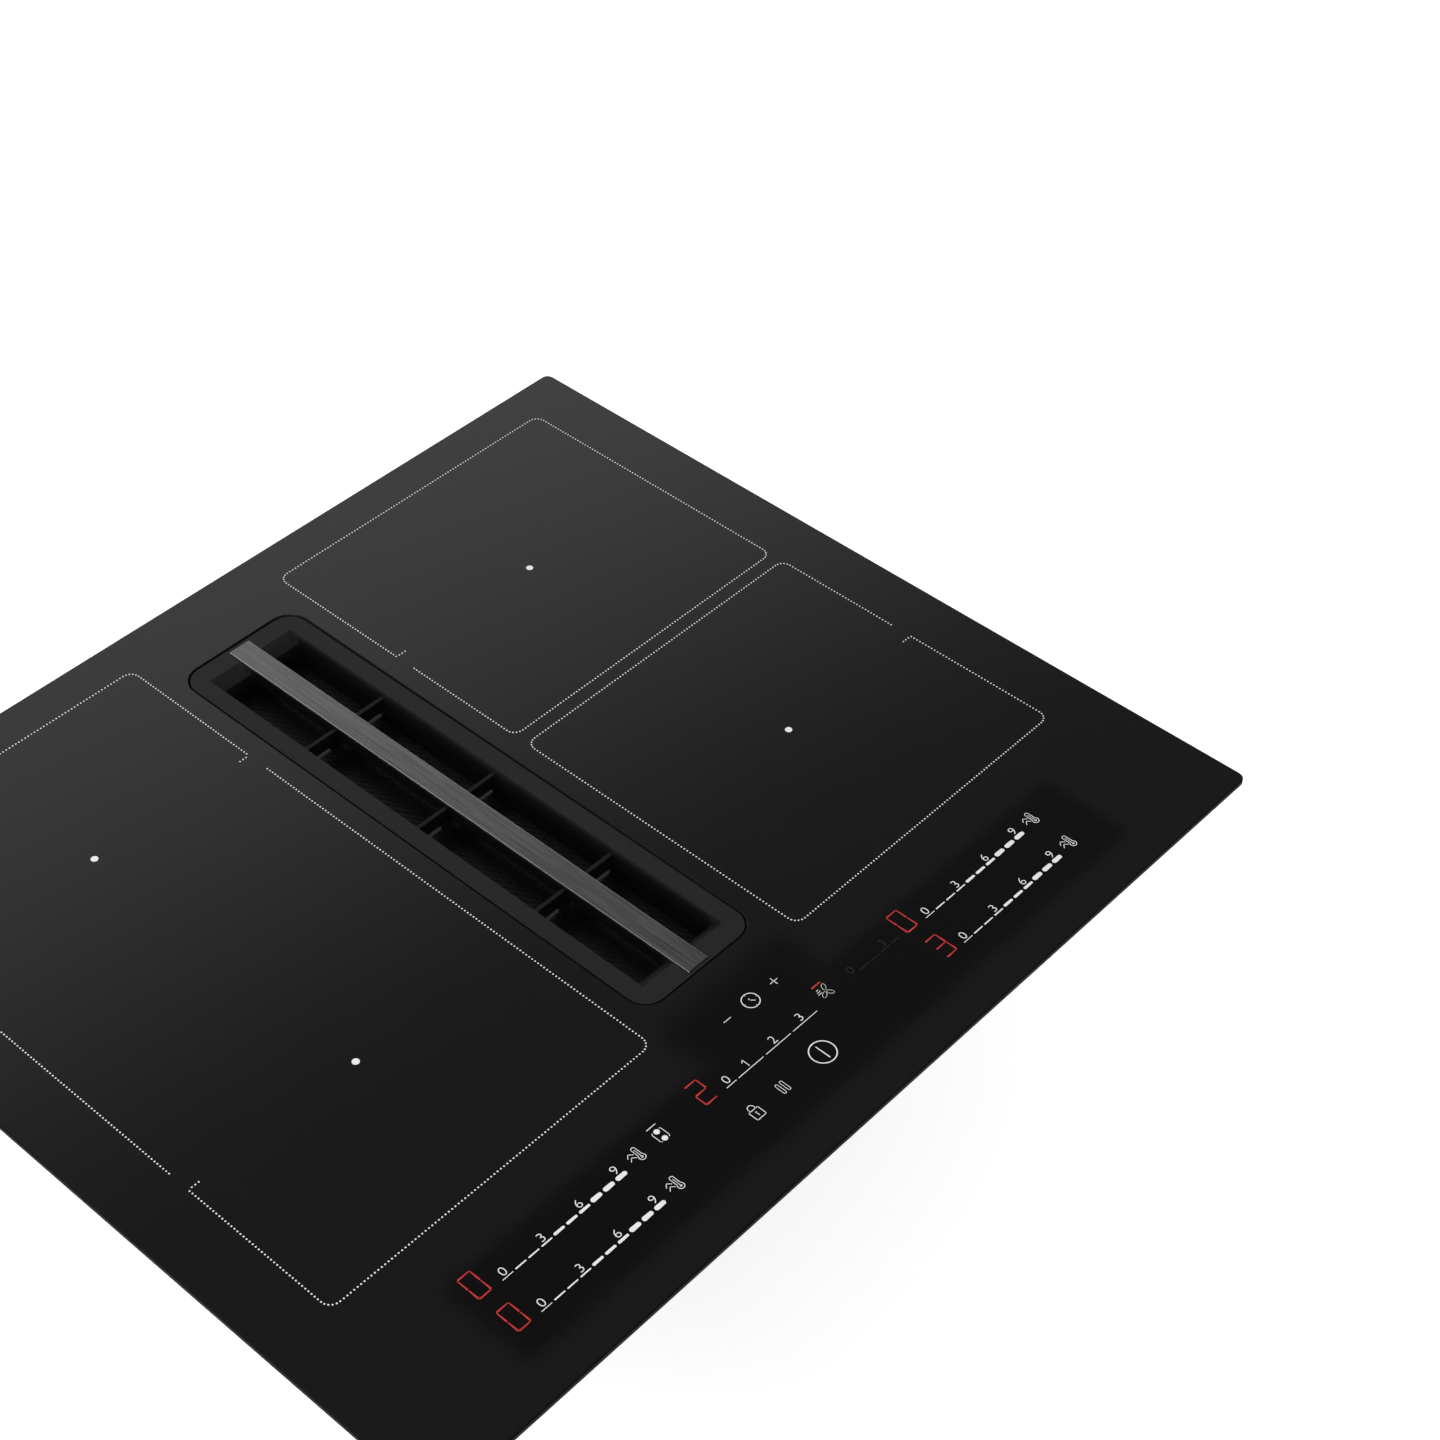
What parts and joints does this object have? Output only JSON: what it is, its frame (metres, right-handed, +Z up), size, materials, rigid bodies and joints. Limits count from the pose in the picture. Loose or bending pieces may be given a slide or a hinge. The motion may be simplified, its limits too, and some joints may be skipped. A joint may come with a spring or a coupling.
{
  "type": "downdraft induction cooktop",
  "caption": "Frameless glass induction cooktop with a recessed extraction grille in its middle, a radial blower under it and a flat duct outlet at the back.",
  "frame": {"origin": "middle of the footprint, at the underside of the blower", "axes": "+X to the right, +Y to the back, +Z up through the glass"},
  "size_m": [0.59, 0.52, 0.21],
  "materials": {
    "black_glass": "polished black glass ceramic with white print",
    "foam_seal": "closed cell foam",
    "galvanised_steel": "galvanised sheet",
    "grille_plastic": "fine matte grain",
    "brushed_steel": "brushed along its length",
    "duct_plastic": "moulded black",
    "filter_steel": "folded stainless sheet",
    "filter_mesh": "layered expanded mesh",
    "aluminium_sheet": "mill finish",
    "coil_plastic": "moulded grey",
    "copper_winding": "enamelled stranded copper",
    "ceramic_felt": "ceramic fibre felt",
    "circuit_board": "solder mask",
    "fan_plastic": "moulded black",
    "impeller_plastic": "moulded grey",
    "motor_steel": "zinc plated",
    "container_plastic": "moulded grey",
    "terminal_plastic": "moulded black",
    "clamp_steel": "zinc plated"
  },
  "bodies": {
    "body": {"glass_panel": "black_glass", "rim_seal": "foam_seal", "carrier_frame": "galvanised_steel", "electronics_tray": "galvanised_steel", "intake_seat_frame": "duct_plastic", "intake_duct": "duct_plastic", "coil_plate_left": "aluminium_sheet", "coil_plate_right": "aluminium_sheet", "coil_base_front_left": "coil_plastic", "coil_base_front_right": "coil_plastic", "coil_base_rear_left": "coil_plastic", "coil_base_rear_right": "coil_plastic", "coil_winding_front_left": "copper_winding", "coil_winding_front_right": "copper_winding", "coil_winding_rear_left": "copper_winding", "coil_winding_rear_right": "copper_winding", "insulation_mat_left": "ceramic_felt", "insulation_mat_right": "ceramic_felt", "power_board_left": "circuit_board", "power_board_right": "circuit_board", "heat_sink_left": "aluminium_sheet", "heat_sink_right": "aluminium_sheet", "cooling_fan_frame_left": "fan_plastic", "cooling_fan_frame_right": "fan_plastic", "control_carrier": "coil_plastic", "touch_board": "circuit_board", "blower_lower_shell": "duct_plastic", "blower_upper_shell": "duct_plastic", "inlet_ring": "galvanised_steel", "blower_motor": "motor_steel", "duct_collar": "duct_plastic", "plenum_tub": "duct_plastic", "plenum_cover": "duct_plastic", "sump_housing": "duct_plastic", "terminal_box": "terminal_plastic", "terminal_cover": "terminal_plastic", "cable_gland": "terminal_plastic", "clamp_screw_front_left": "clamp_steel", "clamp_screw_front_right": "clamp_steel", "clamp_screw_rear_left": "clamp_steel", "clamp_screw_rear_right": "clamp_steel"},
    "grille": {"grille_frame": "grille_plastic", "grille_bar": "brushed_steel"},
    "filter": {"filter_frame": "filter_steel", "filter_mesh_left": "filter_mesh", "filter_mesh_right": "filter_mesh"},
    "wheel": {"impeller": "impeller_plastic", "blower_shaft": "motor_steel"},
    "fan_left": {"cooling_fan_rotor_left": "fan_plastic"},
    "fan_right": {"cooling_fan_rotor_right": "fan_plastic"},
    "container": {"overflow_container": "container_plastic"},
    "clamp_fl": {"clamp_front_left": "clamp_steel"},
    "clamp_fr": {"clamp_front_right": "clamp_steel"},
    "clamp_rl": {"clamp_rear_left": "clamp_steel"},
    "clamp_rr": {"clamp_rear_right": "clamp_steel"}
  },
  "joints": [
    {"name": "grille_lift", "type": "slide", "parent": "body", "child": "grille", "axis": [0, 0, 1], "range_m": [0, 0.12]},
    {"name": "filter_lift", "type": "slide", "parent": "body", "child": "filter", "axis": [0, 0, 1], "range_m": [0, 0.06]},
    {"name": "impeller_spin", "type": "hinge", "parent": "body", "child": "wheel", "pos_m": [0, 0.095, 0.05], "axis": [0, 0, 1], "continuous": true},
    {"name": "fan_spin_left", "type": "hinge", "parent": "body", "child": "fan_left", "pos_m": [-0.132, 0.165, 0.174], "axis": [0, 0, 1], "continuous": true},
    {"name": "fan_spin_right", "type": "hinge", "parent": "body", "child": "fan_right", "pos_m": [0.132, 0.165, 0.174], "axis": [0, 0, 1], "continuous": true},
    {"name": "container_slide", "type": "slide", "parent": "body", "child": "container", "axis": [0, -1, 0], "range_m": [0, 0.085]},
    {"name": "clamp_turn_front_left", "type": "hinge", "parent": "body", "child": "clamp_fl", "pos_m": [-0.2508, -0.12, 0.166], "axis": [0, 0, 1], "range_deg": [0, 90]},
    {"name": "clamp_turn_front_right", "type": "hinge", "parent": "body", "child": "clamp_fr", "pos_m": [0.2508, -0.12, 0.166], "axis": [0, 0, -1], "range_deg": [0, 90]},
    {"name": "clamp_turn_rear_left", "type": "hinge", "parent": "body", "child": "clamp_rl", "pos_m": [-0.2508, 0.12, 0.166], "axis": [0, 0, -1], "range_deg": [0, 90]},
    {"name": "clamp_turn_rear_right", "type": "hinge", "parent": "body", "child": "clamp_rr", "pos_m": [0.2508, 0.12, 0.166], "axis": [0, 0, 1], "range_deg": [0, 90]}
  ],
  "couplings": [
    {"joint": "filter_lift", "follows": "grille_lift", "ratio": 0.5}
  ]
}
